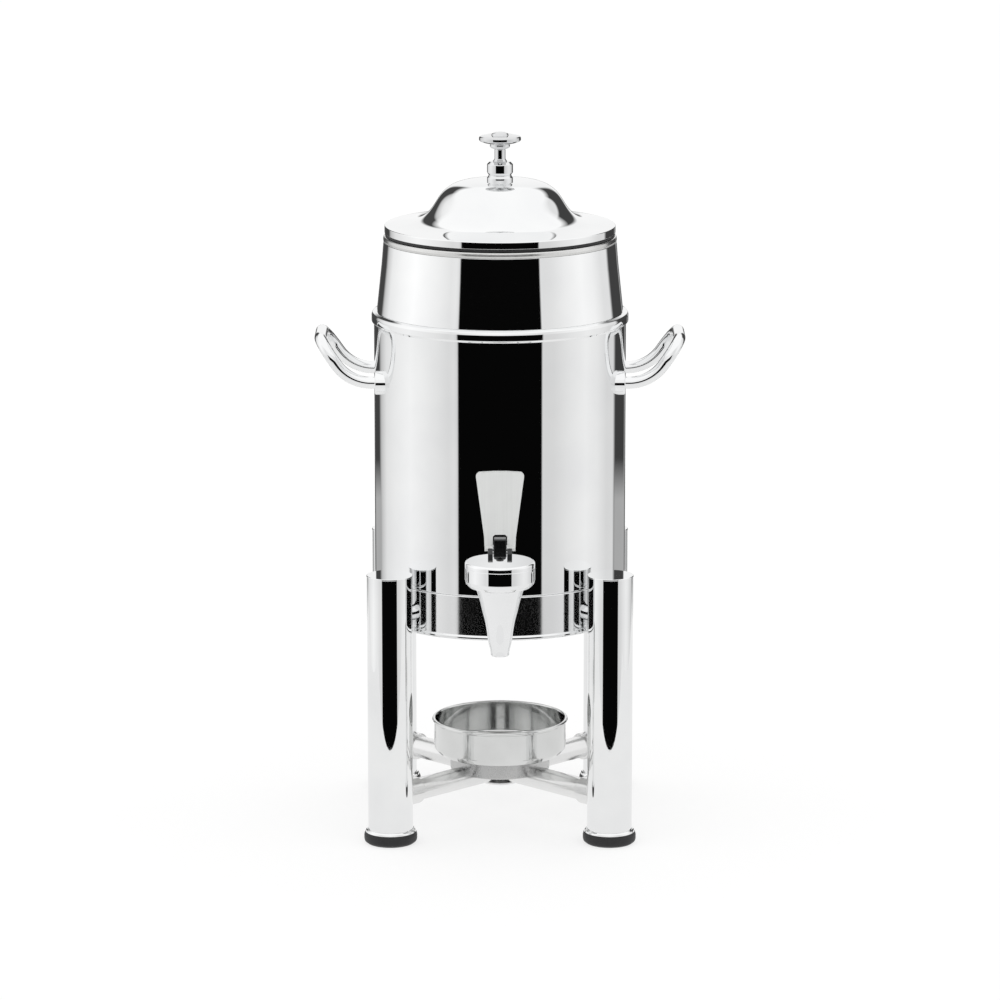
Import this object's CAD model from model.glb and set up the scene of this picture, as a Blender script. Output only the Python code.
import math

import bmesh
import bpy
import numpy as np
from mathutils import Matrix, Vector


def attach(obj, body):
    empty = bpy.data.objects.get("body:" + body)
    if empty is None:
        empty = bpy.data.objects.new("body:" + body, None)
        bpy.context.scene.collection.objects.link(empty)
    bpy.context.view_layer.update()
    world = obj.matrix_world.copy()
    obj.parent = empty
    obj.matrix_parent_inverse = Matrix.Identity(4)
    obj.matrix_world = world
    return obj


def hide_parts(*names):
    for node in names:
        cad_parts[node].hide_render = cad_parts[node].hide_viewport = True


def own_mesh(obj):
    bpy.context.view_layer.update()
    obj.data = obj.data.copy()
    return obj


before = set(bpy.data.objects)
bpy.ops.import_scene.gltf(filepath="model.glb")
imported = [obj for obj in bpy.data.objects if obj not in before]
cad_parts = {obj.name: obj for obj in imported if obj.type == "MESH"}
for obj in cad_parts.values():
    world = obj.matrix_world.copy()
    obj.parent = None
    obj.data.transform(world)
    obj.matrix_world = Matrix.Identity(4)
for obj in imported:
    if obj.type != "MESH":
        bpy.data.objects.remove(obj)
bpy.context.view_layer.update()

MM = 0.001
scene = bpy.context.scene
scene.view_settings.view_transform = "Standard"
scene.view_settings.look = "None"

# Millimetres below, metres in Blender. The urn's axis is x = y = 0, the tabletop is z = 0, -Y is the user's side.


# ---------------------------------------------------------------- node helpers
class Graph:
    """Adds nodes to a tree and joins them by socket name or number."""

    def __init__(self, tree):
        self.tree = tree
        tree.nodes.clear()

    def add(self, kind, values=None, **props):
        n = self.tree.nodes.new(kind)
        for k, v in props.items():
            setattr(n, k, v)
        for k, v in (values or {}).items():
            if isinstance(v, tuple) and len(v) == 2 and isinstance(v[0], bpy.types.Node):
                self.tree.links.new(v[0].outputs[v[1]], n.inputs[k])
            elif isinstance(v, bpy.types.Node):
                self.tree.links.new(v.outputs[0], n.inputs[k])
            else:
                n.inputs[k].default_value = v
        return n

    def math(self, op, a, b=0.0, c=None, clamp=False):
        vals = {0: a, 1: b}
        if c is not None:
            vals[2] = c
        return self.add("ShaderNodeMath", vals, operation=op, use_clamp=clamp)

    def ramp(self, fac, stops, interpolation="LINEAR"):
        n = self.add("ShaderNodeValToRGB", {0: fac})
        n.color_ramp.interpolation = interpolation
        el = n.color_ramp.elements
        el[0].position, el[1].position = stops[0][0], stops[-1][0]
        while len(el) < len(stops):
            el.new(0.5)
        for i, (p, c) in enumerate(sorted(stops)):
            el[i].position = p
        for i, (p, c) in enumerate(sorted(stops)):
            c = c if isinstance(c, tuple) else (c, c, c)
            el[i].color = (c[0], c[1], c[2], 1.0)
        return n

    def spread(self, value, lo, hi, out_lo, out_hi):
        n = self.add("ShaderNodeMapRange", {0: value, 1: lo, 2: hi, 3: out_lo, 4: out_hi})
        n.clamp = True
        return n


def new_material(name):
    m = bpy.data.materials.new(name)
    m.use_nodes = True
    return m, Graph(m.node_tree)


def metal(name, tint_a, tint_b, rough_a, rough_b, grain=650.0, stretch=(1, 1, 1), wave=0.0, wave_scale=9.0, bump=0.02, bump_scale=900.0, wear=0.0):
    """Metal with a slight drift of colour, a fine grain in its roughness, and optional wide waves and edge wear."""
    m, g = new_material(name)
    co = g.add("ShaderNodeTexCoord")
    mp = g.add("ShaderNodeMapping", {0: (co, 3)})
    mp.inputs["Scale"].default_value = stretch
    drift = g.add("ShaderNodeTexNoise", {0: (co, 3), 2: 22.0, 3: 3.0})
    tint = g.ramp(drift, [(0.35, tint_a), (0.65, tint_b)])
    fine = g.add("ShaderNodeTexNoise", {0: mp, 2: grain, 3: 4.0, 4: 0.6})
    smear = g.add("ShaderNodeTexNoise", {0: (co, 3), 2: 38.0, 3: 5.0, 4: 0.65})
    both = g.math("ADD", g.math("MULTIPLY", fine, 0.6), g.math("MULTIPLY", smear, 0.4))
    rough = g.spread(both, 0.34, 0.66, rough_a, rough_b)
    b1 = g.add("ShaderNodeBump", {"Strength": bump, "Distance": 0.0002, "Height": g.add("ShaderNodeTexNoise", {0: mp, 2: bump_scale, 3: 3.0})})
    last = b1
    if wave:
        w = g.add("ShaderNodeTexNoise", {0: (co, 3), 2: wave_scale, 3: 1.0})
        last = g.add("ShaderNodeBump", {"Strength": 1.0, "Distance": wave, "Height": w, "Normal": b1})
    p = g.add("ShaderNodeBsdfPrincipled", {"Base Color": tint, "Metallic": 1.0, "Roughness": rough, "Normal": last})
    g.add("ShaderNodeOutputMaterial", {0: p})
    return m


def soft_stuff(name, dark, light, rough_a, rough_b, scale=1400.0, bump=0.25, spec=0.4):
    """Rubber or silicone: a speckled matt surface with faint dust."""
    m, g = new_material(name)
    co = g.add("ShaderNodeTexCoord")
    fine = g.add("ShaderNodeTexNoise", {0: (co, 3), 2: scale, 3: 4.0})
    wide = g.add("ShaderNodeTexNoise", {0: (co, 3), 2: 60.0, 3: 4.0, 4: 0.6})
    mix = g.math("ADD", g.math("MULTIPLY", fine, 0.35), g.math("MULTIPLY", wide, 0.65))
    tint = g.ramp(mix, [(0.35, dark), (0.7, light)])
    rough = g.spread(wide, 0.35, 0.65, rough_a, rough_b)
    b = g.add("ShaderNodeBump", {"Strength": bump, "Distance": 0.0001, "Height": fine})
    p = g.add("ShaderNodeBsdfPrincipled", {"Base Color": tint, "Roughness": rough, "Normal": b})
    p.inputs["Specular IOR Level"].default_value = spec
    g.add("ShaderNodeOutputMaterial", {0: p})
    return m


def brushed(name, tint_a, tint_b, rough_a, rough_b, axis="z", depth=0.12, metallic=1.0):
    """Metal with long brush lines along one axis, or round a turned piece's own axis."""
    stretch = {"x": (14, 1600, 1600), "y": (1600, 14, 1600), "z": (1600, 1600, 14)}[axis]
    m, g = new_material(name)
    co = g.add("ShaderNodeTexCoord")
    mp = g.add("ShaderNodeMapping", {0: (co, 3)})
    mp.inputs["Scale"].default_value = stretch
    lines = g.add("ShaderNodeTexNoise", {0: mp, 2: 1.0, 3: 3.0, 4: 0.6})
    wide = g.add("ShaderNodeTexNoise", {0: (co, 3), 2: 45.0, 3: 4.0})
    mix = g.math("ADD", g.math("MULTIPLY", lines, 0.55), g.math("MULTIPLY", wide, 0.45))
    tint = g.ramp(mix, [(0.35, tint_a), (0.65, tint_b)])
    rough = g.spread(lines, 0.3, 0.7, rough_a, rough_b)
    b = g.add("ShaderNodeBump", {"Strength": depth, "Distance": 0.0001, "Height": lines})
    p = g.add("ShaderNodeBsdfPrincipled", {"Base Color": tint, "Metallic": metallic, "Roughness": rough, "Normal": b})
    g.add("ShaderNodeOutputMaterial", {0: p})
    return m


MAT = {
    "polished_steel": metal("polished_steel", (0.86, 0.865, 0.87), (0.90, 0.905, 0.905), 0.012, 0.035, wave=0.00004, wave_scale=11.0, bump=0.004),
    "satin_steel": metal("satin_steel", (0.80, 0.80, 0.80), (0.84, 0.84, 0.835), 0.20, 0.27, grain=420.0, bump=0.006),
    "brushed_liner": brushed("brushed_liner", (0.68, 0.68, 0.67), (0.76, 0.76, 0.75), 0.16, 0.26, depth=0.02),
    "zinc_fixings": metal("zinc_fixings", (0.60, 0.61, 0.62), (0.70, 0.71, 0.71), 0.22, 0.36, bump=0.08),
    "plated_brass": metal("plated_brass", (0.86, 0.865, 0.87), (0.90, 0.905, 0.91), 0.012, 0.04, bump=0.004),
    "satin_lever": brushed("satin_lever", (0.70, 0.71, 0.70), (0.76, 0.77, 0.76), 0.40, 0.52, axis="z", depth=0.04, metallic=0.12),
    "spring_wire": metal("spring_wire", (0.55, 0.55, 0.56), (0.64, 0.64, 0.64), 0.18, 0.30),
    "silicone": soft_stuff("silicone", (0.55, 0.55, 0.54), (0.66, 0.66, 0.64), 0.42, 0.58, bump=0.1),
    "black_rubber": soft_stuff("black_rubber", (0.010, 0.010, 0.011), (0.022, 0.022, 0.023), 0.45, 0.62, bump=0.3),
}

RING_STEEL = metal("ring_steel", (0.84, 0.845, 0.85), (0.88, 0.885, 0.885), 0.07, 0.11, wave=0.00004, wave_scale=9.0, bump=0.004)
CAM_STEEL = metal("cam_steel", (0.040, 0.041, 0.042), (0.060, 0.061, 0.062), 0.16, 0.26, bump=0.01)
CUP_STEEL = metal("cup_steel", (0.68, 0.685, 0.68), (0.76, 0.765, 0.76), 0.07, 0.14, bump=0.006)
KNOB_FINISH = metal("knob_finish", (0.66, 0.665, 0.67), (0.74, 0.745, 0.75), 0.02, 0.05, bump=0.004)
COLLAR_FINISH = metal("collar_finish", (0.78, 0.785, 0.79), (0.84, 0.845, 0.85), 0.02, 0.05, bump=0.004)
CLAMP_STEEL = metal("clamp_steel", (0.86, 0.86, 0.86), (0.90, 0.90, 0.90), 0.38, 0.48, bump=0.006)
LID_STEEL = metal("lid_steel", (0.86, 0.865, 0.87), (0.90, 0.905, 0.905), 0.015, 0.035, wave=0.00001, wave_scale=11.0, bump=0.004)
HUB_STEEL = metal("hub_steel", (0.50, 0.50, 0.50), (0.56, 0.56, 0.555), 0.22, 0.30, grain=420.0, bump=0.006)

# ---------------------------------------------------------------- mesh helpers
def rounded(points, closed=True, steps=6):
    """Corner points (u, v) or (u, v, radius) to a line in which each corner with a radius is an arc."""
    out = []
    n = len(points)
    for i, p in enumerate(points):
        u, v = p[0], p[1]
        r = p[2] if len(p) > 2 else 0.0
        if not closed and i in (0, n - 1) or r <= 0:
            out.append((u, v))
            continue
        P = np.array([u, v], float)
        A = np.array(points[i - 1][:2], float) - P
        B = np.array(points[(i + 1) % n][:2], float) - P
        la, lb = np.linalg.norm(A), np.linalg.norm(B)
        A, B = A / la, B / lb
        ang = math.acos(max(-1.0, min(1.0, float(A @ B))))
        if ang > math.pi - 0.02:
            out.append((u, v))
            continue
        t = min(r / math.tan(ang / 2), 0.48 * la, 0.48 * lb)
        r = t * math.tan(ang / 2)
        mid = (A + B) / np.linalg.norm(A + B)
        C = P + mid * (r / math.sin(ang / 2))
        s, e = P + A * t - C, P + B * t - C
        turn = math.atan2(s[0] * e[1] - s[1] * e[0], float(s @ e))
        k = max(2, int(math.ceil(abs(turn) / math.radians(90) * steps)))
        for j in range(k + 1):
            a = turn * j / k
            c, q = math.cos(a), math.sin(a)
            out.append((float(C[0] + s[0] * c - s[1] * q), float(C[1] + s[0] * q + s[1] * c)))
    return out


def flowing(points, per=8):
    """A smooth line through the points (centripetal Catmull-Rom), open."""
    P = np.array(points, float)
    P = np.vstack([2 * P[0] - P[1], P, 2 * P[-1] - P[-2]])
    out = []
    for i in range(1, len(P) - 2):
        p0, p1, p2, p3 = P[i - 1 : i + 3]
        t0 = 0.0
        t1 = t0 + max(np.linalg.norm(p1 - p0), 1e-9) ** 0.5
        t2 = t1 + max(np.linalg.norm(p2 - p1), 1e-9) ** 0.5
        t3 = t2 + max(np.linalg.norm(p3 - p2), 1e-9) ** 0.5
        for j in range(per):
            t = t1 + (t2 - t1) * j / per
            a1 = p0 * (t1 - t) / (t1 - t0) + p1 * (t - t0) / (t1 - t0)
            a2 = p1 * (t2 - t) / (t2 - t1) + p2 * (t - t1) / (t2 - t1)
            a3 = p2 * (t3 - t) / (t3 - t2) + p3 * (t - t2) / (t3 - t2)
            b1 = a1 * (t2 - t) / (t2 - t0) + a2 * (t - t0) / (t2 - t0)
            b2 = a2 * (t3 - t) / (t3 - t1) + a3 * (t - t1) / (t3 - t1)
            out.append(tuple(b1 * (t2 - t) / (t2 - t1) + b2 * (t - t1) / (t2 - t1)))
    out.append(tuple(P[-2]))
    return out


def evened(points, passes):
    """Relaxes a line towards its neighbours' mean, with its two ends kept."""
    P = np.array(points, float)
    run = np.concatenate([[0], np.cumsum(np.linalg.norm(np.diff(P, axis=0), axis=1))])
    even = np.linspace(0, run[-1], 84)
    Q = np.stack([np.interp(even, run, P[:, 0]), np.interp(even, run, P[:, 1])], 1)
    for _ in range(passes):
        Q[1:-1] = 0.25 * Q[:-2] + 0.5 * Q[1:-1] + 0.25 * Q[2:]
    return [tuple(q) for q in Q]


class Build:
    """Collects vertices and faces in millimetres, then makes one object."""

    def __init__(self):
        self.v, self.f = [], []

    def grid(self, rings, close_u=True, close_v=False, cap_start=False, cap_end=False):
        """rings: a list of equally long rings of points. Joins ring to ring."""
        base = len(self.v)
        n = len(rings[0])
        for r in rings:
            self.v.extend([tuple(map(float, p)) for p in r])
        m = len(rings)
        for i in range(m if close_v else m - 1):
            a, b = base + i * n, base + ((i + 1) % m) * n
            for j in range(n if close_u else n - 1):
                k = (j + 1) % n
                self.f.append((a + j, a + k, b + k, b + j))
        if cap_start:
            self.f.append(tuple(base + j for j in range(n)))
        if cap_end:
            self.f.append(tuple(base + (m - 1) * n + j for j in range(n)))

    def lathe(self, profile, segments=128, centre=(0, 0, 0), axis="z", closed=True, turn=0.0):
        """Turns (radius, height) points about an axis through centre. A radius of 0 is a pole."""
        base = len(self.v)
        ang = np.linspace(0, 2 * math.pi, segments, endpoint=False) + turn
        ca, sa = np.cos(ang), np.sin(ang)
        index = []
        for r, h in profile:
            if r < 1e-6:
                index.append([len(self.v)])
                self.v.append(self._place(0.0, 0.0, h, centre, axis))
            else:
                index.append(list(range(len(self.v), len(self.v) + segments)))
                for c, s in zip(ca, sa):
                    self.v.append(self._place(r * c, r * s, h, centre, axis))
        m = len(profile)
        for i in range(m if closed else m - 1):
            A, B = index[i], index[(i + 1) % m]
            for j in range(segments):
                k = (j + 1) % segments
                if len(A) == 1 and len(B) == 1:
                    break
                if len(A) == 1:
                    self.f.append((A[0], B[k], B[j]))
                elif len(B) == 1:
                    self.f.append((A[j], A[k], B[0]))
                else:
                    self.f.append((A[j], A[k], B[k], B[j]))
        return base

    @staticmethod
    def _place(a, b, h, c, axis):
        if axis == "z":
            return (c[0] + a, c[1] + b, c[2] + h)
        if axis == "y":
            return (c[0] + a, c[1] + h, c[2] + b)
        if axis == "x":
            return (c[0] + h, c[1] + a, c[2] + b)
        # a horizontal axis at this angle from +X, in radians
        ca, sa = math.cos(axis), math.sin(axis)
        return (c[0] + h * ca - a * sa, c[1] + h * sa + a * ca, c[2] + b)

    def make(self, name, body, nodes, slot, sharp=32.0, bevel=None, weighted=True, material=None):
        me = bpy.data.meshes.new(name)
        me.from_pydata([(x * MM, y * MM, z * MM) for x, y, z in self.v], [], self.f)
        bm = bmesh.new()
        bm.from_mesh(me)
        bmesh.ops.remove_doubles(bm, verts=bm.verts, dist=1e-7)
        bmesh.ops.recalc_face_normals(bm, faces=bm.faces)
        bm.to_mesh(me)
        bm.free()
        return finish_piece(me, name, body, nodes, slot, sharp, bevel, weighted, material)


def finish_piece(me, name, body, nodes, slot, sharp=32.0, bevel=None, weighted=True, material=None):
    me.polygons.foreach_set("use_smooth", [True] * len(me.polygons))
    me.set_sharp_from_angle(angle=math.radians(sharp))
    me.materials.append(material or MAT[slot])
    o = bpy.data.objects.new(name, me)
    scene.collection.objects.link(o)
    if bevel:
        b = o.modifiers.new("edge", "BEVEL")
        b.width, b.segments, b.limit_method, b.angle_limit = bevel[0] * MM, bevel[1], "ANGLE", math.radians(28)
        b.harden_normals = True
        b.miter_outer = "MITER_ARC"
    if weighted:
        w = o.modifiers.new("even", "WEIGHTED_NORMAL")
        w.mode, w.weight, w.keep_sharp = "FACE_AREA", 80, True
    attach(o, body)
    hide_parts(*nodes)
    return o


def turned(name, body, node, slot, profile, centres=((0, 0, 0),), segments=160, axis="z", closed=True, **kw):
    b = Build()
    for c in centres:
        b.lathe(profile, segments, c, axis, closed)
    return b.make(name, body, [node] if isinstance(node, str) else node, slot, **kw)


LEG = 78.0
LEG_D = LEG * math.sqrt(2.0)
LEGS = {"front_left": (-LEG, -LEG), "front_right": (LEG, -LEG), "rear_right": (LEG, LEG), "rear_left": (-LEG, LEG)}
DIAG = {"front_left": math.radians(225), "front_right": math.radians(315), "rear_right": math.radians(45), "rear_left": math.radians(135)}
ALL_LEGS = [(x, y, 0) for x, y in LEGS.values()]

# ---------------------------------------------------------------- stand: legs, caps, rims, feet
leg_line = rounded([(14.8, 8.2, 0.2), (16, 8.2, 0.2), (16, 194.5, 0.25), (14.8, 194.5, 0.2)])
for place, (lx, ly) in LEGS.items():
    turned("leg_" + place + "_tube", "stand", "leg_" + place, "polished_steel", leg_line, [(lx, ly, 0)], 144)
turned("leg_cap_plugs", "stand", "leg_caps", "polished_steel",
       rounded([(0, 185.5), (14.7, 185.5, 0.6), (14.75, 194.5), (16.3, 194.5, 0.12), (16.3, 195.5, 0.6), (0, 195.5)], steps=8), ALL_LEGS, 128)
turned("foot_ferrules", "stand", "foot_rims", "polished_steel",
       rounded([(16.05, 8.2), (18.1, 8.2, 0.25), (17.6, 9.6, 0.8), (16.8, 10.4, 0.4), (16.05, 10.4)]), ALL_LEGS, 128)
turned("leg_feet_rubber", "stand", "rubber_feet", "black_rubber",
       rounded([(0, 0.5), (11.5, 0.5, 0.3), (12.2, 0, 0.3), (16.5, 0, 0.9), (18.5, 1.6, 1.4), (18.9, 3.2, 1.4), (18.9, 6.0, 1.8), (18.2, 8.2, 0.35), (14.75, 8.2), (14.75, 18.2, 0.8), (0, 18.2)]),
       ALL_LEGS, 112)

# ---------------------------------------------------------------- stand: ring, spacers, screws
turned("support_ring_band", "stand", "support_ring", "polished_steel",
       rounded([(88.5, 151.1, 0.2), (89.0, 150.5, 0.3), (90.3, 150.5, 0.35), (90.9, 151.4, 0.6), (90.9, 152.5, 0.6), (90.0, 153.7, 0.5), (90.0, 182, 0.9), (87.3, 182, 0.3), (87.3, 180.4, 0.2), (88.5, 180.4, 0.2)], steps=8),
       segments=288, material=RING_STEEL)


def saddle_tube(b, angle, z, r_out, r_in, start, end, segments=72, edge_start=0.0, edge_end=0.0):
    """A tube along a diagonal. start and end give its ends' distance from the urn's axis at a sideways offset."""
    rings = []
    stations = []

    def ring(r, place):
        pts = []
        for i in range(segments):
            t = 2 * math.pi * i / segments
            u, w = r * math.cos(t), r * math.sin(t)
            dist = place(u)
            ca, sa = math.cos(angle), math.sin(angle)
            pts.append((dist * ca - u * sa, dist * sa + u * ca, z + w))
        return pts

    def shifted(f, by):
        return lambda u: f(u) + by

    steps = 5
    outer = []
    if edge_start:
        for i in range(steps + 1):
            a = math.pi / 2 * i / steps
            outer.append((r_out - edge_start * (1 - math.sin(a)), shifted(start, edge_start * (1 - math.cos(a)))))
    else:
        outer.append((r_out, start))
    if edge_end:
        for i in range(steps + 1):
            a = math.pi / 2 * i / steps
            outer.append((r_out - edge_end * (1 - math.cos(a)), shifted(end, -edge_end * (1 - math.sin(a)))))
    else:
        outer.append((r_out, end))
    for r, place in outer:
        rings.append(ring(r, place))
    rings.append(ring(r_in, end))
    rings.append(ring(r_in, start))
    b.grid(rings, close_v=True)


def leg_side(u):
    return LEG_D - math.sqrt(16.0 ** 2 - u * u)


def ring_side(u):
    return math.sqrt(90.0 ** 2 - u * u)


b = Build()
for a in DIAG.values():
    saddle_tube(b, a, 165.0, 6.0, 3.15, ring_side, leg_side, 64)
b.make("ring_spacer_bushes", "stand", ["ring_spacers"], "polished_steel")

b = Build()
screw = rounded([(0, 87.4), (2.6, 87.4, 0.2), (2.6, 85.6, 0.2), (3.4, 85.3, 0.6), (5.2, 86.7, 0.9), (5.4, 88.3, 0.2), (3.0, 88.3), (3.0, 114.3, 0.5), (0, 114.3)])
for a in DIAG.values():
    b.lathe([(r, h) for r, h in screw], 48, (0, 0, 165.0), a)
b.make("ring_screw_heads", "stand", ["ring_screws"], "zinc_fixings")

# ---------------------------------------------------------------- stand: X brace and hub
for place, a in DIAG.items():
    b = Build()
    saddle_tube(b, a, 33.6, 8.0, 6.5, lambda u: 9.7, leg_side, 88, edge_start=0.3)
    b.make("brace_tube_" + place, "stand", ["brace_arm_" + place], "satin_steel")
b = Build()
for a in DIAG.values():
    saddle_tube(b, a, 33.6, 9.8, 8.02, lambda u: LEG_D - 16.0 - 10.0, leg_side, 88, edge_start=1.1)
b.make("brace_collars", "stand", ["arm_collars"], "satin_steel")

turned("hub_plate", "stand", "hub_disc", "satin_steel",
       rounded([(3.0, 34), (36, 34, 1.2), (36, 46, 1.5), (3.0, 46)], steps=8), segments=192, material=HUB_STEEL)
turned("hub_clamp", "stand", "hub_clamp_plate", "zinc_fixings",
       rounded([(3.1, 24.0), (14, 24.0, 0.6), (14, 25.6, 0.3), (3.1, 25.6)]), segments=96, material=CLAMP_STEEL)
turned("hub_bolt_head", "stand", "hub_bolt", "zinc_fixings",
       rounded([(0, 23.2), (2.2, 23.2, 0.2), (2.4, 21.8, 0.2), (4.0, 21.8, 0.6), (5.2, 22.6, 0.4), (5.2, 24.0, 0.2), (2.95, 24.0), (2.95, 41.8), (0, 41.8)]), segments=64, material=CLAMP_STEEL)
turned("burner_locating_pin", "stand", "burner_pin", "zinc_fixings",
       rounded([(0, 42), (2.99, 42), (2.99, 47.1, 0.9), (0, 47.1)], steps=8), segments=48)

# ---------------------------------------------------------------- burner cup
turned("burner_cup_shell", "burner", "burner_cup", "polished_steel",
       rounded([(3.4, 46, 0.3), (43.9, 46, 4.0), (47.75, 50.2, 3.0), (47.75, 69.1, 0.5), (48.5, 69.6, 0.5), (49.5, 70.8, 1.1), (48.7, 72.0, 0.9), (47.2, 72.0, 0.7), (46.75, 71.0, 0.6), (46.75, 47.2, 3.4), (3.4, 47.2, 0.3)], steps=8),
       segments=224, material=CUP_STEEL)

# ---------------------------------------------------------------- urn: body, band, neck
turned("urn_body_wall", "urn", "body_shell", "polished_steel",
       [(89, 182)] + [(89.15 + 0.85 * math.sin(math.pi / 2 * i / 10), 182.85 - 0.85 * math.cos(math.pi / 2 * i / 10)) for i in range(11)] + [(90, 240), (90, 300), (90, 363.5), (89, 363.5)], segments=384)
turned("urn_band", "urn", "band_ring", "polished_steel",
       rounded([(87.6, 356.5), (88.95, 356.5), (88.95, 363.5), (90.5, 363.5, 0.3), (91.7, 364.9, 0.9), (91.7, 369.2, 0.8), (91.0, 371.0, 1.0), (88.8, 372.0, 0.6),
                (86.95, 372.0), (86.2, 376.0, 0.2), (85.2, 376.0, 0.2), (85.8, 370.0), (87.6, 362.5)], steps=8), segments=384)
turned("urn_neck_wall", "urn", "neck_shell", "polished_steel",
       rounded([(86.9, 372.0), (87.9, 372.0, 0.2), (84.3, 406, 40), (83.0, 421.7, 0.3), (82.0, 421.7, 0.2), (83.3, 406, 40)], steps=10), segments=384)

# ---------------------------------------------------------------- urn: inner tank, bottom ring
turned("tank_liner", "urn", "inner_tank", "brushed_liner",
       rounded([(0, 185.2), (80.8, 185.2, 6.0), (80.8, 421.7, 0.3), (82.9, 421.7, 0.7), (83.2, 423.4, 0.9), (82.9, 425.9, 1.3), (80.3, 426.0, 0.9), (80.0, 424.0, 0.8), (80.0, 186.0, 5.6), (0, 186.0)], steps=8), segments=224)
turned("tank_bottom_ring", "urn", "bottom_ring", "satin_steel",
       rounded([(60, 183.2, 0.3), (85.1, 183.2, 0.4), (85.1, 175, 0.3), (86.2, 175.0, 0.3), (86.6, 176.2, 0.5), (86.6, 182.6, 0.3), (88.95, 182.6), (88.95, 185.2), (60, 185.2, 0.3)]), segments=224)

# ---------------------------------------------------------------- handles
SLOPE = math.radians(55.0)
HY, HZ, BX, BR, CR, TIP, ROD = 30.0, 324.6, 91.5, 30.0, 17.0, 127.8, 4.3


def handle_path():
    """The rod's centre line: out of the shell, a bend up into the slope, and a D in the sloping plane."""
    half = []
    for i in range(5):
        half.append((87.3 + (BX - 87.3) * i / 4, HY, HZ))
    for i in range(1, 17):
        a = SLOPE * i / 16
        half.append((BX + BR * math.sin(a), HY, HZ + BR * (1 - math.cos(a))))
    p2 = np.array(half[-1])
    along = np.array([math.cos(SLOPE), 0, math.sin(SLOPE)])
    run = (TIP - p2[0]) / math.cos(SLOPE) - CR
    for i in range(1, 9):
        half.append(tuple(p2 + along * run * i / 8))
    c = p2 + along * run + np.array([0, -CR, 0])
    for i in range(1, 21):
        a = math.pi / 2 * i / 20
        half.append(tuple(c + along * CR * math.sin(a) + np.array([0, CR * math.cos(a), 0])))
    end = np.array(half[-1])
    grip = [tuple(end + np.array([0, -2 * end[1] * i / 12, 0])) for i in range(1, 12)]
    return half + grip + [(x, -y, z) for x, y, z in reversed(half)]


def sweep(b, points, radius, segments=48):
    P = np.array(points, float)
    T = np.gradient(P, axis=0)
    T /= np.linalg.norm(T, axis=1)[:, None]
    n = np.cross(T[0], (0, 1, 0))
    n /= np.linalg.norm(n)
    rings = []
    for i in range(len(P)):
        if i:
            n = n - T[i] * (n @ T[i])
            n /= np.linalg.norm(n)
        m = np.cross(T[i], n)
        rings.append([P[i] + radius * (math.cos(2 * math.pi * k / segments) * n + math.sin(2 * math.pi * k / segments) * m) for k in range(segments)])
    b.grid(rings, cap_start=True, cap_end=True)


for side, sx in (("right", 1), ("left", -1)):
    b = Build()
    sweep(b, [(sx * x, sx * y, z) for x, y, z in handle_path()], ROD)
    for sy in (1, -1):
        stud = rounded([(0, 77.0), (3.0, 77.0, 0.5), (3.0, 88.0), (0, 88.0)])
        b.lathe([(r, sx * h) for r, h in stud], 32, (0, sy * HY, HZ), "x")
    b.make("handle_rod_" + side, "urn", ["handle_" + side], "polished_steel", weighted=False)

b = Build()
for sx in (1, -1):
    for sy in (1, -1):
        cy, cz, R, seg = sy * HY, HZ, 8.6, 88
        rings = []

        def disc(r, x=None):
            out = []
            for k in range(seg):
                t = 2 * math.pi * k / seg
                y, z = cy + r * math.cos(t), cz + r * math.sin(t)
                out.append((sx * (x if x is not None else math.sqrt(90.0 ** 2 - y * y)), y, z))
            return out

        edge = 0.9
        rings.append(disc(4.32, 86.0 if sy else 86.0))
        rings.append(disc(4.32, 88.9))
        rings.append(disc(R - edge, 88.9))
        for i in range(1, 7):
            a = math.pi / 2 * i / 6
            x = 88.9 - edge * (1 - math.cos(a))
            ring = disc(R - edge * (1 - math.sin(a)), x)
            rings.append(ring)
        rings.append(disc(R))
        rings.append(disc(4.32))
        b.grid(rings[1:], close_v=True)
b.make("handle_flange_discs", "urn", ["handle_flanges"], "polished_steel")

# ---------------------------------------------------------------- tap
TAP = (0, -119.0, 0)
b = Build()
spout = flowing([(6.6, 149.0), (6.8, 151.0), (8.0, 155.7), (9.5, 165.7), (10.8, 172.8), (12.3, 178.5), (14.3, 187.0), (17.0, 195.6)], 6)
b.lathe(rounded([(5.5, 147, 0.3), (5.9, 147, 0.3), (6.6, 147.9, 0.5)] + spout + [(21.5, 196.8, 1.2), (23.8, 199.0, 1.6), (24.5, 201.5, 3.0), (24.5, 210.8, 0.25), (21, 210.8), (21, 208.2), (12, 208.2), (12, 190), (5.5, 190)], steps=8), 192, TAP)
b.lathe(rounded([(4.6, -116.0 + 17), (7.6, -116.0 + 17), (7.6, -93.8, 0.2), (13.5, -93.8, 0.5), (13.5, -91.4, 0.2), (7.6, -91.4), (7.6, -69.0, 0.6), (4.6, -69.0, 0.4)]), 128, (0, 0, 203.0), "y")
b.make("tap_casting", "urn", ["tap_body"], "plated_brass")

# gasket between collar and shell, its far face curved to the shell
b = Build()
seg = 96
rings = []
for r, place in ((7.65, -91.4), (13.0, -91.4), (13.0, None), (7.65, None)):
    ring = []
    for k in range(seg):
        t = 2 * math.pi * k / seg
        x, z = r * math.cos(t), 203.0 + r * math.sin(t)
        ring.append((x, place if place is not None else -math.sqrt(90.0 ** 2 - x * x), z))
    rings.append(ring)
b.grid(rings, close_v=True)
b.make("tap_gasket", "urn", ["outer_gasket"], "silicone")

turned("tap_bonnet_cover", "urn", "tap_bonnet", "plated_brass",
       rounded([(2.56, 208.3), (20.95, 208.3), (20.95, 210.85), (24.5, 210.85, 0.25), (24.5, 215, 3.4), (2.56, 215, 0.2)], steps=10), [TAP], 192)

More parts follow.
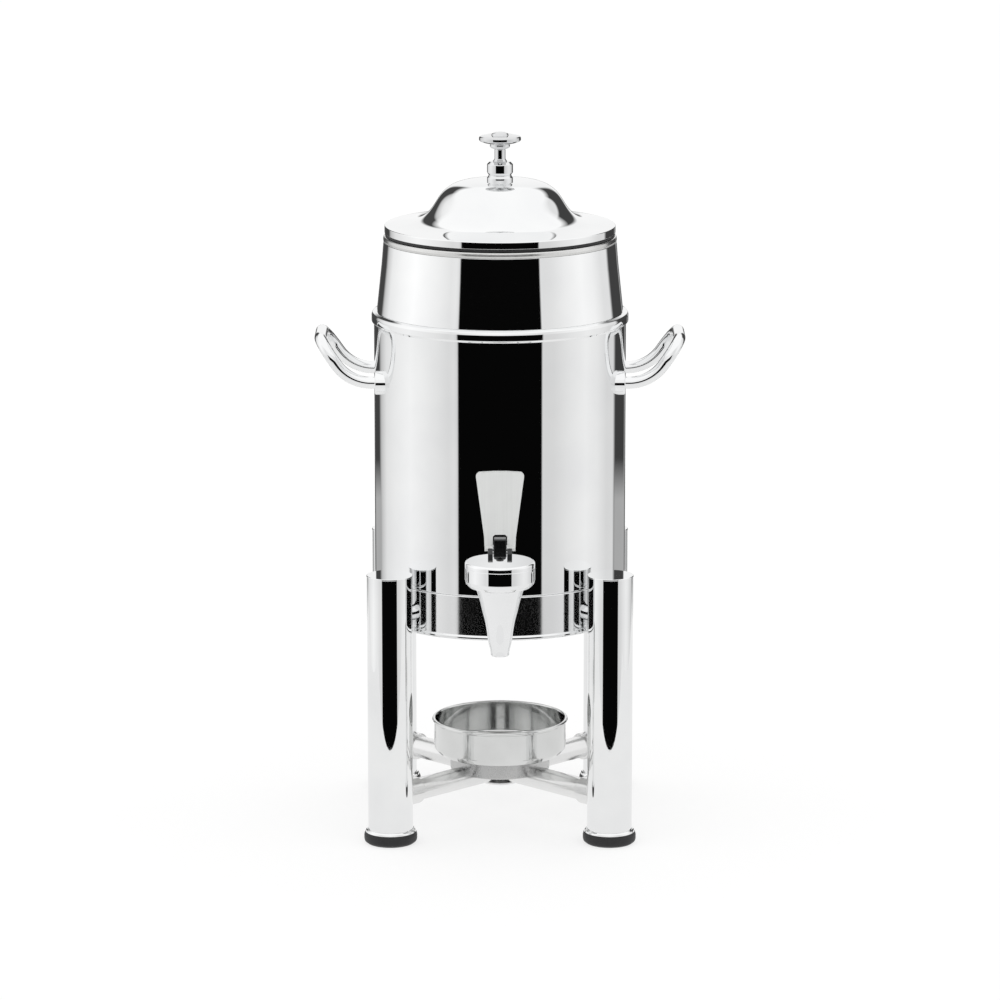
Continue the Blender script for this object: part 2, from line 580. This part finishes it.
# coil spring inside the tap's chamber: it shortens as the valve lifts
b = Build()
turns, wire, low, high = 5.5, 0.55, 199.65, 208.25
pts = []
for i in range(int(turns * 28) + 1):
    t = i / (turns * 28)
    a = 2 * math.pi * turns * t
    pts.append((5.3 * math.cos(a), -119 + 5.3 * math.sin(a), low + wire + 0.05 + (high - low - 2 * wire - 0.1) * t))
sweep(b, pts, wire, 10)
spring = b.make("valve_return_coil", "urn", ["return_spring"], "spring_wire", weighted=False)
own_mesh(spring)

# stem with its square eye
b = Build()
b.lathe(rounded([(0, 193), (2.5, 193), (2.5, 198.4), (6.4, 198.4, 0.3), (6.4, 199.6, 0.3), (2.5, 199.6), (2.5, 215.6), (4.2, 216.4, 0.3), (4.2, 219), (0, 219)]), 64, TAP)
E = 4.6
rings = []
for z, inset in ((218.0, 0.5), (218.3, 0.1), (219.0, 0.0), (229.9, 0.0), (230.5, 0.25), (231.0, 0.8)):
    e = E - inset
    ex = E - min(inset, 0.5)
    c = 0.6
    rings.append([(x, -119 + y, z) for x, y in ((ex, -e + c), (ex, e - c), (ex - c, e), (-ex + c, e), (-ex, e - c), (-ex, -e + c), (-ex + c, -e), (ex - c, -e))])
b.grid(rings, cap_start=True, cap_end=True)
b.make("valve_stem_eye", "valve", ["valve_stem"], "plated_brass", material=CAM_STEEL)
turned("lever_hinge_pin", "valve", "lever_pin", "zinc_fixings",
       rounded([(0, -8.6), (1.6, -8.6, 0.35), (1.6, 8.6, 0.35), (0, 8.6)]), [(0, -119.0, 224.5)], 40, "x")


# lever: paddle and cam feet are one closed solid, with its edges rounded afterwards
def foot_mesh(bm, prism):
    """The two cam feet, whose underside lifts the pin in proportion to the tilt."""
    rate, high = 5.6, 224.5 - 215.2
    steps = [math.radians(a) for a in (0, 5, 10, 15, 20, 25, 30, 35, 40)]
    cam = []
    for a, c in zip(steps, steps[1:]):
        ha, hb = high + rate * a, high + rate * c
        det = math.sin(a) * math.cos(c) - math.cos(a) * math.sin(c)
        cam.append(((-ha * math.cos(c) + hb * math.cos(a)) / det, 224.5 + (-hb * math.sin(a) + ha * math.sin(c)) / det))
    last = cam[-1]
    foot = [(5.4, 232.0), (-2.4, 232.0), (-2.5, 225.7), (last[0] - 0.2, 222.3)] + list(reversed(cam)) + [(4.6, 215.2), (5.4, 216.4)]
    for s in (1, -1):
        prism(foot, "yz", s * 5.0, s * 8.4)
    bmesh.ops.recalc_face_normals(bm, faces=bm.faces)
    me = bpy.data.meshes.new("feet_raw")
    bm.to_mesh(me)
    bm.free()
    return me


def lever_mesh(feet=False):
    bm = bmesh.new()
    T = 2.5  # half thickness

    def prism(outline, plane, a, c):
        lo, hi = [], []
        for u, v in outline:
            if plane == "xz":
                lo.append(bm.verts.new((u * MM, (-119 + a) * MM, v * MM)))
                hi.append(bm.verts.new((u * MM, (-119 + c) * MM, v * MM)))
            else:
                lo.append(bm.verts.new((a * MM, (-119 + u) * MM, v * MM)))
                hi.append(bm.verts.new((c * MM, (-119 + u) * MM, v * MM)))
        bm.faces.new(lo)
        bm.faces.new(list(reversed(hi)))
        n = len(outline)
        for i in range(n):
            j = (i + 1) % n
            bm.faces.new((lo[j], lo[i], hi[i], hi[j]))

    top = rounded([(11.1, 232.5), (16.8, 275.8, 2.2), (14.8, 277.8, 1.2), (5.0, 278.4, 30), (-5.0, 278.4, 30), (-14.8, 277.8, 1.2), (-16.8, 275.8, 2.2), (-11.1, 232.5)], closed=False, steps=8)
    paddle = [(5.0, 225.4), (10.8, 225.4)] + top + [(-10.8, 225.4), (-5.0, 225.4), (-5.0, 232.6), (-3.6, 234.0), (3.6, 234.0), (5.0, 232.6)]
    if feet:
        return foot_mesh(bm, prism)
    prism(paddle, "xz", -T, T)
    ledge = [(-5.2, 222.9), (2.4, 222.9), (2.4, 226.5), (-2.6, 226.5), (-5.2, 225.4)]
    for s in (1, -1):
        prism(ledge, "yz", s * 5.0, s * 10.7)
    bmesh.ops.recalc_face_normals(bm, faces=bm.faces)
    me = bpy.data.meshes.new("lever_raw")
    bm.to_mesh(me)
    bm.free()
    return me


def united(me):
    """Joins the overlapping shells of a mesh into one skin."""
    o = bpy.data.objects.new("tmp", me)
    scene.collection.objects.link(o)
    parts = []
    bpy.context.view_layer.objects.active = o
    bm = bmesh.new()
    bm.from_mesh(me)
    seen, groups = set(), []
    for v in bm.verts:
        if v in seen:
            continue
        stack, group = [v], []
        while stack:
            w = stack.pop()
            if w in seen:
                continue
            seen.add(w)
            group.append(w.index)
            stack.extend(e.other_vert(w) for e in w.link_edges)
        groups.append(set(group))
    for gset in groups:
        b2 = bm.copy()
        b2.verts.ensure_lookup_table()
        bmesh.ops.delete(b2, geom=[v for v in b2.verts if v.index not in gset], context="VERTS")
        m2 = bpy.data.meshes.new("part")
        b2.to_mesh(m2)
        b2.free()
        parts.append(m2)
    bm.free()
    objs = []
    for m2 in parts:
        q = bpy.data.objects.new("part", m2)
        scene.collection.objects.link(q)
        objs.append(q)
    base = objs[0]
    for q in objs[1:]:
        mod = base.modifiers.new("join", "BOOLEAN")
        mod.operation, mod.object, mod.solver = "UNION", q, "EXACT"
    dg = bpy.context.evaluated_depsgraph_get()
    made = bpy.data.meshes.new_from_object(base.evaluated_get(dg))
    for q in objs + [o]:
        bpy.data.objects.remove(q)
    return made


lever = united(lever_mesh())
bm = bmesh.new()
bm.from_mesh(lever)
bmesh.ops.dissolve_limit(bm, angle_limit=math.radians(1.0), verts=bm.verts, edges=bm.edges)
bmesh.ops.recalc_face_normals(bm, faces=bm.faces)
bm.to_mesh(lever)
bm.free()
finish_piece(lever, "tap_lever_paddle", "lever", ["tap_lever"], "satin_lever", sharp=30, bevel=(0.55, 4), weighted=False)
finish_piece(lever_mesh(feet=True), "tap_lever_feet", "lever", ["tap_lever"], "satin_lever", sharp=30, bevel=(0.35, 3), weighted=False, material=CAM_STEEL)

# ---------------------------------------------------------------- lid
outer = flowing([(4.2, 465.2), (12.0, 465.2), (19.0, 465.1), (25.0, 464.6), (30.0, 463.4), (35.0, 461.3), (40.0, 457.5), (43.4, 453.3), (46.1, 448.8), (49.2, 444.3), (53.5, 439.9), (58.9, 436.9), (64.5, 435.6), (70.0, 434.8), (76, 434.1), (81.0, 433.5)], 8)
outer = evened(outer, 8)
inner = [(max(r - 0.15, 4.2) if z > 460 else r - 0.8, z - 1.0) for r, z in outer]
rim = rounded([outer[-1], (82.2, 433.3, 1.1), (82.2, 428.2, 0.3), (81.2, 428.2, 0.2), (81.2, 432.2, 0.4), (inner[-1][0], inner[-1][1])], closed=False, steps=8)
turned("lid_dome_shell", "lid", "lid_shell", "polished_steel", outer[:-1] + rim + list(reversed(inner))[1:], segments=320, material=LID_STEEL)
turned("lid_locating_collar", "lid", "lid_collar", "satin_steel",
       rounded([(76.6, 418, 0.25), (77.6, 418, 0.25), (77.6, 428.0, 0.3), (81.0, 428.0), (81.0, 429.1), (76.6, 429.1, 0.4)]), segments=256)
turned("lid_seal_ring", "lid", "lid_seal", "black_rubber",
       rounded([(77.7, 426.05, 0.3), (81.9, 426.05, 0.8), (81.9, 427.95, 0.3), (77.7, 427.95, 0.2)]), segments=256)
turned("knob_base_collar", "lid", "knob_base", "polished_steel",
       rounded([(2.2, 465.2), (9.2, 465.2), (9.2, 467.2, 0.7), (7.8, 468.8, 1.1), (9.2, 470.8, 0.9), (9.2, 476.8, 0.9), (7.4, 478.6, 0.6), (2.2, 478.6)], steps=8), segments=128, material=COLLAR_FINISH)
turned("knob_turned", "lid", "lid_knob", "polished_steel",
       rounded([(2.0, 478.6), (5.3, 478.6, 0.3), (3.9, 480.4, 1.2), (3.9, 487.6, 0.7), (6.6, 488.4, 0.4), (7.2, 489.6, 0.6), (6.7, 491.0, 0.3), (11.5, 492.2, 3.0), (14.2, 493.2, 0.8), (14.9, 493.9, 0.7), (14.9, 495.9, 0.7), (14.2, 496.7, 0.8),
                (11.0, 497.0, 2.0), (6.2, 497.2, 0.5), (5.6, 498.7, 0.9), (3.6, 499.45, 2.0), (0, 499.6), (0, 486.6), (2.0, 486.6)], steps=8), segments=144, material=KNOB_FINISH)

# the vessel's mirror shows only the studio behind the tap, as in the picture
for piece in ("tap_casting", "tap_bonnet_cover", "valve_stem_eye", "lever_hinge_pin", "tap_lever_paddle", "tap_lever_feet"):
    bpy.data.objects[piece].visible_glossy = False
bpy.data.objects["valve_return_coil"].visible_glossy = False
for inside in ("seat_cup", "shank_nut", "inner_gasket"):
    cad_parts[inside].visible_glossy = False

# ---------------------------------------------------------------- nodes carried over from the frame
CARRIED = {
    "arm_plugs": "zinc_fixings", "arm_studs": "zinc_fixings", "stud_nuts": "zinc_fixings", "leg_inserts": "zinc_fixings", "handle_washers": "zinc_fixings", "handle_nuts": "zinc_fixings",
    "knob_washer": "zinc_fixings", "knob_screw": "zinc_fixings", "shank_nut": "plated_brass", "inner_gasket": "silicone", "seat_cup": "silicone",
}
for name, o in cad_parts.items():
    if o.hide_render:
        continue
    slot = CARRIED[name]
    o.data.materials.clear()
    o.data.materials.append(MAT[slot])

# ---------------------------------------------------------------- stage
def floor_material(name, glow, tone):
    m, g = new_material(name)
    co = g.add("ShaderNodeTexCoord")
    n = g.add("ShaderNodeTexNoise", {0: (co, 3), 2: 3.0, 3: 3.0})
    tint = g.ramp(n, [(0.3, (tone * 0.99, tone * 0.99, tone * 0.985)), (0.7, (tone, tone, tone))])
    dif = g.add("ShaderNodeBsdfDiffuse", {0: tint})
    em = g.add("ShaderNodeEmission", {0: (1, 1, 1, 1), 1: glow})
    g.add("ShaderNodeOutputMaterial", {0: g.add("ShaderNodeAddShader", {0: dif, 1: em})})
    return m


def slab(name, outline, z, mat):
    me = bpy.data.meshes.new(name)
    me.from_pydata([(x, y, z) for x, y in outline], [], [tuple(range(len(outline)))])
    me.materials.append(mat)
    o = bpy.data.objects.new(name, me)
    scene.collection.objects.link(o)
    return o


wide = slab("floor", [(-30, -8), (30, -8), (30, 60), (-30, 60)], 0.0, floor_material("floor_pale", 0.72, 0.30))
wide.visible_glossy = False
table = slab("table_top", [(-0.60, -0.364), (0.60, -0.364), (0.60, 0.60), (-0.60, 0.60)], -0.0002, floor_material("table_pale", 0.62, 0.30))
table.visible_camera = False

world = bpy.data.worlds.new("studio")
scene.world = world
world.use_nodes = True
g = Graph(world.node_tree)
co = g.add("ShaderNodeTexCoord")
xyz = g.add("ShaderNodeSeparateXYZ", {0: (co, 0)})
az = g.math("ARCTAN2", (xyz, 0), g.math("MULTIPLY", (xyz, 1), -1.0))
turn = g.math("MULTIPLY_ADD", az, 0.5 / math.pi, 0.5)


def at(deg):
    return 0.5 + deg / 360.0


# azimuth (degrees from the front) and tone: at the lower heights a dark card stands in front, and a dark strip behind each side
sides = [(-180, 0.88), (-169, 0.88), (-165, 0.055), (-146, 0.055), (-141, 0.50), (-138, 0.60), (-128, 0.82), (-110, 0.92), (-90, 1.0), (-75, 0.93), (-60, 0.85), (-48, 0.77), (-42, 0.80)]
rest = [(42, 0.72), (50, 0.74), (65, 0.84), (85, 0.93), (100, 0.88), (115, 0.75), (127, 0.75), (131.5, 0.05), (160, 0.05), (166, 0.88), (180, 0.88)]
with_card = g.ramp(turn, [(at(a), v) for a, v in sides + [(-39.4, 0.72), (-38.2, 0.002), (38.2, 0.002), (39.4, 0.74)] + rest])
open_front = g.ramp(turn, [(at(a), v) for a, v in sides + [(0, 0.90)] + rest])
# the strips are paler near the table
pale = g.ramp(turn, [(at(a), v) for a, v in [(-180, 0.42), (-138, 0.42), (-136, 0.0), (129, 0.0), (131, 0.42), (180, 0.42)]])
near = g.add("ShaderNodeMix", {0: g.spread((xyz, 2), -0.2075, -0.1985, 1.0, 0.0), 6: (0.0, 0.0, 0.0, 1.0), 7: pale}, data_type="RGBA")
low = g.add("ShaderNodeMix", {0: 1.0, 6: with_card, 7: (near, 2)}, data_type="RGBA", blend_type="LIGHTEN")
front = g.add("ShaderNodeMix", {0: g.spread((xyz, 2), 0.10, 0.13, 0.0, 1.0), 6: (low, 2), 7: open_front}, data_type="RGBA")
gain = g.spread((xyz, 2), -0.16, -0.11, 1.0, 1.12)
deep = g.add("ShaderNodeMix", {0: g.spread((xyz, 2), -0.315, -0.295, 1.0, 0.0), 6: (front, 2), 7: (0.86, 0.86, 0.86, 1.0)}, data_type="RGBA")
back = g.ramp(turn, [(0.0, 1.0), (at(-165), 1.0), (at(-163), 0.0), (at(163), 0.0), (at(165), 1.0), (1.0, 1.0)])
dim = g.math("MULTIPLY", back, g.spread((xyz, 2), -0.06, 0.0, 1.0, 0.0))
rear = g.add("ShaderNodeMix", {0: dim, 6: (deep, 2), 7: (0.10, 0.10, 0.10, 1.0)}, data_type="RGBA")
lifted = g.add("ShaderNodeMix", {0: 1.0, 6: (rear, 2), 7: g.add("ShaderNodeCombineXYZ", {0: gain, 1: gain, 2: gain})}, data_type="RGBA", blend_type="MULTIPLY")
env = g.add("ShaderNodeMix", {0: g.spread((xyz, 2), 0.50, 0.62, 0.0, 1.0), 6: (lifted, 2), 7: (1.08, 1.08, 1.08, 1.0)}, data_type="RGBA")
path = g.add("ShaderNodeLightPath")
see = g.math("MAXIMUM", (path, 0), 0.0)
diffuse_or = g.add("ShaderNodeMix", {0: (path, 2), 6: (env, 2), 7: (1.0, 1.0, 1.0, 1.0)}, data_type="RGBA")
final = g.add("ShaderNodeMix", {0: see, 6: (diffuse_or, 2), 7: (1.0, 1.0, 1.0, 1.0)}, data_type="RGBA")
g.add("ShaderNodeOutputWorld", {0: g.add("ShaderNodeBackground", {0: (final, 2), 1: 1.0})})

# ---------------------------------------------------------------- camera
cam = bpy.data.objects.new("camera", bpy.data.cameras.new("camera"))
scene.collection.objects.link(cam)
scene.camera = cam
cam.location = (0.0, -3.4298, 0.9619)
cam.rotation_euler = (Vector((0, 0, 0.2329)) - cam.location).to_track_quat("-Z", "Y").to_euler()
cam.data.sensor_fit = "HORIZONTAL"
cam.data.sensor_width = 36.0
cam.data.lens = 175.3
cam.data.clip_start, cam.data.clip_end = 0.05, 100.0
